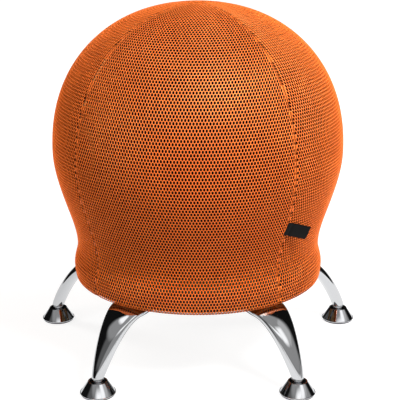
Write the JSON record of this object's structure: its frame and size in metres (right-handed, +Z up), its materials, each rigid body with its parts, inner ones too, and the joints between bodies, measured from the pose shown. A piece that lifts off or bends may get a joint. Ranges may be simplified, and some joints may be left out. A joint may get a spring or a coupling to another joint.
{
  "type": "ball stool",
  "caption": "Round ball seat in a stretched orange mesh cover, on a board with curved chromed legs that end in tilting cone-shaped glides.",
  "frame": {"origin": "on the floor under the middle of the seat, where the circle of feet has its centre", "axes": "+Z up along the seat's axis, front towards -Y between two legs, +X to the right as seen from the front"},
  "size_m": [0.5542, 0.5298, 0.5735],
  "materials": {
    "orange_mesh": "knitted polyester spacer mesh with small staggered holes, matt",
    "ball_skin": "smooth black vinyl, satin",
    "label_fabric": "woven black satin ribbon, plain",
    "elastic": "woven elastic tape",
    "board": "birch plywood, sanded",
    "black_plastic": "moulded nylon, fine grain",
    "valve_plastic": "soft white polyethylene",
    "chromed_casting": "die-cast aluminium, polished and chrome plated",
    "chromed_steel": "pressed and turned steel, chrome plated",
    "zinc_steel": "steel, bright zinc plated",
    "brass_insert": "turned brass, bare",
    "grey_pad": "moulded polyethylene, scuffed"
  },
  "bodies": {
    "root": {"base_board": "board", "edge_ring": "black_plastic", "ball_bladder": "ball_skin", "mesh_cover": "orange_mesh", "hem_elastic": "elastic", "label_tab": "label_fabric", "leg_screws": "zinc_steel", "tee_nuts": "zinc_steel", "leg_1": "chromed_casting", "leg_2": "chromed_casting", "leg_3": "chromed_casting", "leg_4": "chromed_casting", "leg_5": "chromed_casting", "thread_insert_1": "brass_insert", "thread_insert_2": "brass_insert", "thread_insert_3": "brass_insert", "thread_insert_4": "brass_insert", "thread_insert_5": "brass_insert"},
    "valve_plug": {"valve_plug": "valve_plastic"},
    "stud_1": {"levelling_stud_1": "zinc_steel"},
    "swivel_1": {"swivel_ball_1": "chromed_steel"},
    "glide_1": {"glide_cone_1": "chromed_steel", "glide_seat_1": "black_plastic", "floor_pad_1": "grey_pad"},
    "stud_2": {"levelling_stud_2": "zinc_steel"},
    "swivel_2": {"swivel_ball_2": "chromed_steel"},
    "glide_2": {"glide_cone_2": "chromed_steel", "glide_seat_2": "black_plastic", "floor_pad_2": "grey_pad"},
    "stud_3": {"levelling_stud_3": "zinc_steel"},
    "swivel_3": {"swivel_ball_3": "chromed_steel"},
    "glide_3": {"glide_cone_3": "chromed_steel", "glide_seat_3": "black_plastic", "floor_pad_3": "grey_pad"},
    "stud_4": {"levelling_stud_4": "zinc_steel"},
    "swivel_4": {"swivel_ball_4": "chromed_steel"},
    "glide_4": {"glide_cone_4": "chromed_steel", "glide_seat_4": "black_plastic", "floor_pad_4": "grey_pad"},
    "stud_5": {"levelling_stud_5": "zinc_steel"},
    "swivel_5": {"swivel_ball_5": "chromed_steel"},
    "glide_5": {"glide_cone_5": "chromed_steel", "glide_seat_5": "black_plastic", "floor_pad_5": "grey_pad"}
  },
  "joints": [
    {"name": "valve_pull", "type": "slide", "parent": "root", "child": "valve_plug", "axis": [0, 0, -1], "range_m": [0, 0.022]},
    {"name": "level_1", "type": "slide", "parent": "root", "child": "stud_1", "axis": [0, 0, -1], "range_m": [0, 0.006]},
    {"name": "turn_1", "type": "hinge", "parent": "stud_1", "child": "swivel_1", "pos_m": [-0.154, -0.21196, 0.0176], "axis": [0, 0, 1], "continuous": true},
    {"name": "tilt_1", "type": "hinge", "parent": "swivel_1", "child": "glide_1", "pos_m": [-0.154, -0.21196, 0.0176], "axis": [0.809, -0.5878, 0], "range_deg": [-10, 10]},
    {"name": "level_2", "type": "slide", "parent": "root", "child": "stud_2", "axis": [0, 0, -1], "range_m": [0, 0.006]},
    {"name": "turn_2", "type": "hinge", "parent": "stud_2", "child": "swivel_2", "pos_m": [0.154, -0.21196, 0.0176], "axis": [0, 0, 1], "continuous": true},
    {"name": "tilt_2", "type": "hinge", "parent": "swivel_2", "child": "glide_2", "pos_m": [0.154, -0.21196, 0.0176], "axis": [0.809, 0.5878, 0], "range_deg": [-10, 10]},
    {"name": "level_3", "type": "slide", "parent": "root", "child": "stud_3", "axis": [0, 0, -1], "range_m": [0, 0.006]},
    {"name": "turn_3", "type": "hinge", "parent": "stud_3", "child": "swivel_3", "pos_m": [0.24918, 0.08096, 0.0176], "axis": [0, 0, 1], "continuous": true},
    {"name": "tilt_3", "type": "hinge", "parent": "swivel_3", "child": "glide_3", "pos_m": [0.24918, 0.08096, 0.0176], "axis": [-0.309, 0.9511, 0], "range_deg": [-10, 10]},
    {"name": "level_4", "type": "slide", "parent": "root", "child": "stud_4", "axis": [0, 0, -1], "range_m": [0, 0.006]},
    {"name": "turn_4", "type": "hinge", "parent": "stud_4", "child": "swivel_4", "pos_m": [0, 0.262, 0.0176], "axis": [0, 0, 1], "continuous": true},
    {"name": "tilt_4", "type": "hinge", "parent": "swivel_4", "child": "glide_4", "pos_m": [0, 0.262, 0.0176], "axis": [-1, 0, 0], "range_deg": [-10, 10]},
    {"name": "level_5", "type": "slide", "parent": "root", "child": "stud_5", "axis": [0, 0, -1], "range_m": [0, 0.006]},
    {"name": "turn_5", "type": "hinge", "parent": "stud_5", "child": "swivel_5", "pos_m": [-0.24918, 0.08096, 0.0176], "axis": [0, 0, 1], "continuous": true},
    {"name": "tilt_5", "type": "hinge", "parent": "swivel_5", "child": "glide_5", "pos_m": [-0.24918, 0.08096, 0.0176], "axis": [-0.309, -0.9511, 0], "range_deg": [-10, 10]}
  ]
}
